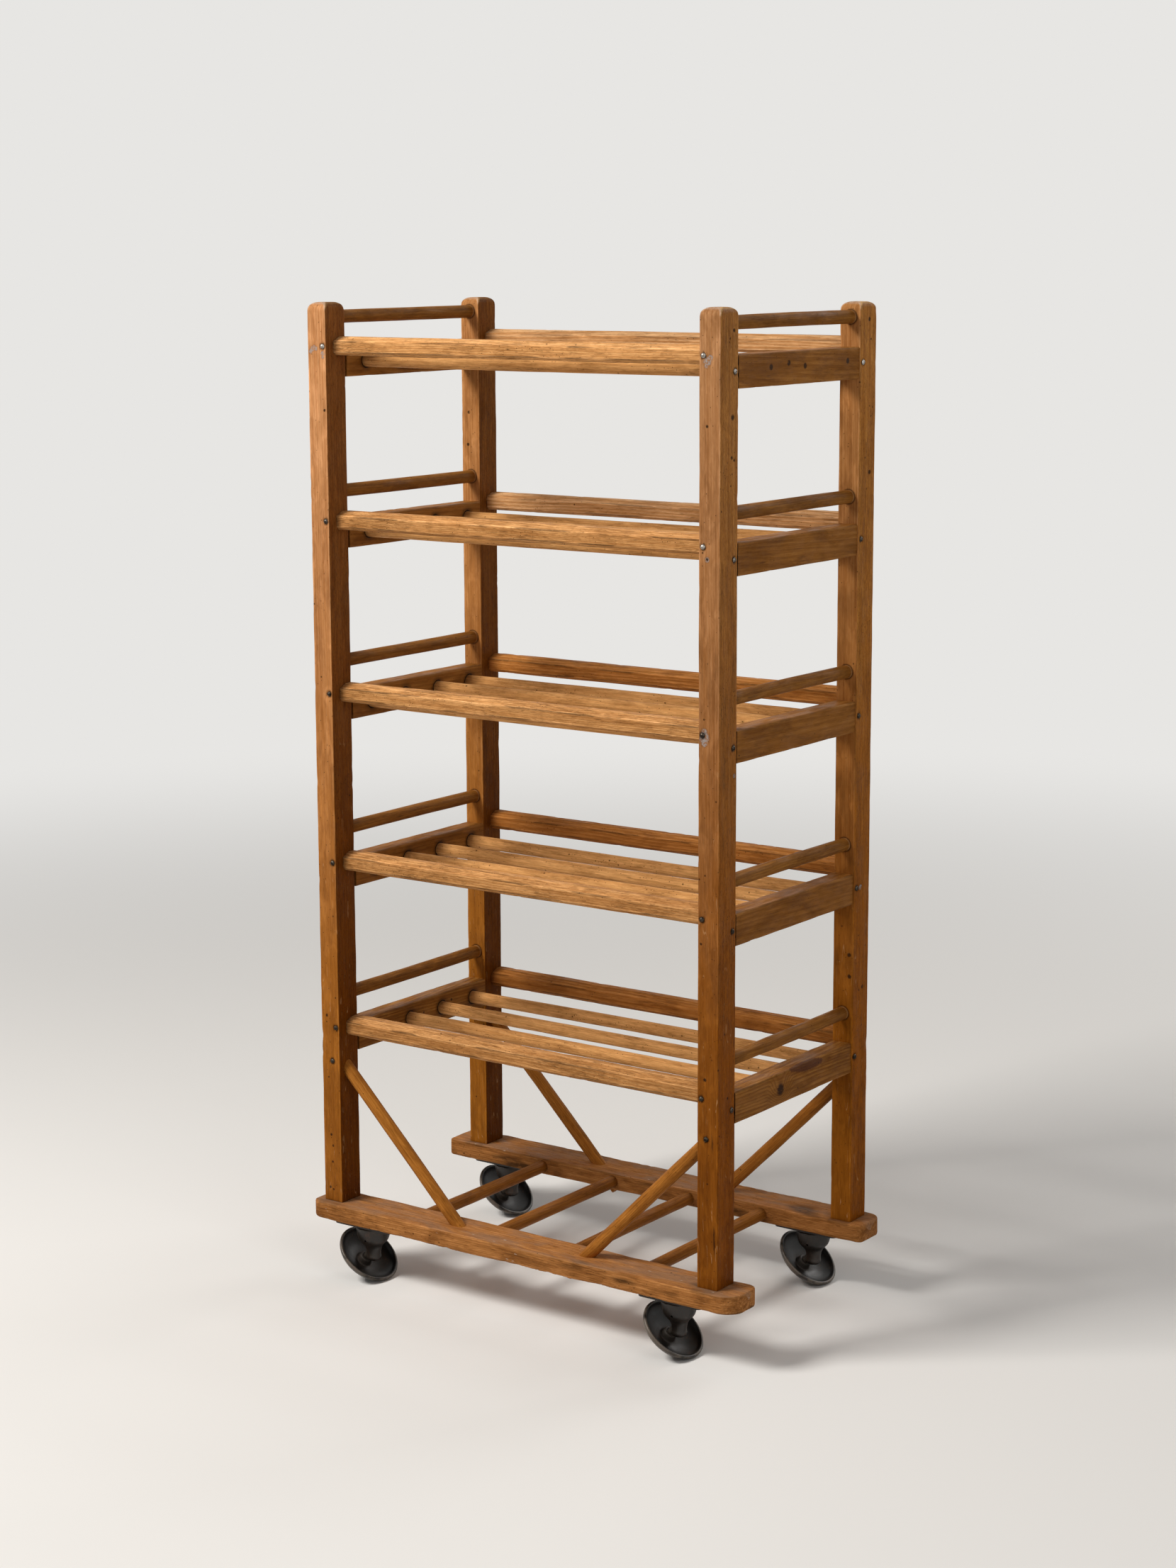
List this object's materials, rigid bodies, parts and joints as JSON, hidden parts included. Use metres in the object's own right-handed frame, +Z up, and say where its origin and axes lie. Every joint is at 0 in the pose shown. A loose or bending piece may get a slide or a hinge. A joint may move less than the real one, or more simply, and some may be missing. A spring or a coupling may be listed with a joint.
{
  "type": "bakery bread rack",
  "caption": "Tall open wooden bread rack on swivelling bowl casters, with dowel shelves, end rails and guard dowels.",
  "frame": {"origin": "on the floor, at the centre of the rack's footprint", "axes": "+X along the rack to the right, +Y to the back, +Z up"},
  "size_m": [0.886, 0.5268, 1.6525],
  "materials": {
    "post_wood": "worn satin varnish over softwood",
    "rail_wood": "worn bare wood with raised grain",
    "end_rail_wood": "satin varnish",
    "dowel_wood": "worn satin",
    "guard_wood": "satin varnish",
    "runner_wood": "scuffed and worn",
    "screw_steel": "dull steel",
    "caster_plate_steel": "worn black paint",
    "caster_iron": "dark, grimy",
    "axle_steel": "dull steel",
    "wheel_enamel": "worn satin black enamel"
  },
  "bodies": {
    "rack": {"runner_front": "runner_wood", "runner_back": "runner_wood", "base_dowels": "dowel_wood", "post_front_left": "post_wood", "brace_front_left": "dowel_wood", "post_front_right": "post_wood", "brace_front_right": "dowel_wood", "post_back_left": "post_wood", "brace_back_left": "dowel_wood", "post_back_right": "post_wood", "brace_back_right": "dowel_wood", "front_rail_1": "rail_wood", "back_rail_1": "rail_wood", "end_rail_left_1": "end_rail_wood", "end_rail_right_1": "end_rail_wood", "shelf_dowels_1": "dowel_wood", "guard_dowels_1": "guard_wood", "front_rail_2": "rail_wood", "back_rail_2": "rail_wood", "end_rail_left_2": "end_rail_wood", "end_rail_right_2": "end_rail_wood", "shelf_dowels_2": "dowel_wood", "guard_dowels_2": "guard_wood", "front_rail_3": "rail_wood", "back_rail_3": "rail_wood", "end_rail_left_3": "end_rail_wood", "end_rail_right_3": "end_rail_wood", "shelf_dowels_3": "dowel_wood", "guard_dowels_3": "guard_wood", "front_rail_4": "rail_wood", "back_rail_4": "rail_wood", "end_rail_left_4": "end_rail_wood", "end_rail_right_4": "end_rail_wood", "shelf_dowels_4": "dowel_wood", "guard_dowels_4": "guard_wood", "front_rail_5": "rail_wood", "back_rail_5": "rail_wood", "end_rail_left_5": "end_rail_wood", "end_rail_right_5": "end_rail_wood", "shelf_dowels_5": "dowel_wood", "guard_dowels_5": "guard_wood", "frame_screws": "screw_steel", "caster_screws": "screw_steel", "caster_plate_front_left": "caster_plate_steel", "caster_plate_front_right": "caster_plate_steel", "caster_plate_back_left": "caster_plate_steel", "caster_plate_back_right": "caster_plate_steel"},
    "swivel_front_left": {"caster_swivel_front_left": "caster_iron", "caster_axle_front_left": "axle_steel"},
    "wheel_front_left": {"caster_wheel_front_left": "wheel_enamel"},
    "swivel_front_right": {"caster_swivel_front_right": "caster_iron", "caster_axle_front_right": "axle_steel"},
    "wheel_front_right": {"caster_wheel_front_right": "wheel_enamel"},
    "swivel_back_left": {"caster_swivel_back_left": "caster_iron", "caster_axle_back_left": "axle_steel"},
    "wheel_back_left": {"caster_wheel_back_left": "wheel_enamel"},
    "swivel_back_right": {"caster_swivel_back_right": "caster_iron", "caster_axle_back_right": "axle_steel"},
    "wheel_back_right": {"caster_wheel_back_right": "wheel_enamel"}
  },
  "joints": [
    {"name": "swivel_front_left", "type": "hinge", "parent": "rack", "child": "swivel_front_left", "pos_m": [-0.313, -0.207, 0.0885], "axis": [0, 0, 1], "continuous": true},
    {"name": "wheel_spin_front_left", "type": "hinge", "parent": "swivel_front_left", "child": "wheel_front_left", "pos_m": [-0.323, -0.207, 0.0412], "axis": [0.6521, 0, 0.7581], "continuous": true},
    {"name": "swivel_front_right", "type": "hinge", "parent": "rack", "child": "swivel_front_right", "pos_m": [0.317, -0.207, 0.0885], "axis": [0, 0, 1], "continuous": true},
    {"name": "wheel_spin_front_right", "type": "hinge", "parent": "swivel_front_right", "child": "wheel_front_right", "pos_m": [0.307, -0.207, 0.0412], "axis": [0.6521, 0, 0.7581], "continuous": true},
    {"name": "swivel_back_left", "type": "hinge", "parent": "rack", "child": "swivel_back_left", "pos_m": [-0.33, 0.207, 0.0885], "axis": [0, 0, 1], "continuous": true},
    {"name": "wheel_spin_back_left", "type": "hinge", "parent": "swivel_back_left", "child": "wheel_back_left", "pos_m": [-0.34, 0.207, 0.0412], "axis": [0.6521, 0, 0.7581], "continuous": true},
    {"name": "swivel_back_right", "type": "hinge", "parent": "rack", "child": "swivel_back_right", "pos_m": [0.315, 0.207, 0.0885], "axis": [0, 0, 1], "continuous": true},
    {"name": "wheel_spin_back_right", "type": "hinge", "parent": "swivel_back_right", "child": "wheel_back_right", "pos_m": [0.305, 0.207, 0.0412], "axis": [0.6521, 0, 0.7581], "continuous": true}
  ]
}
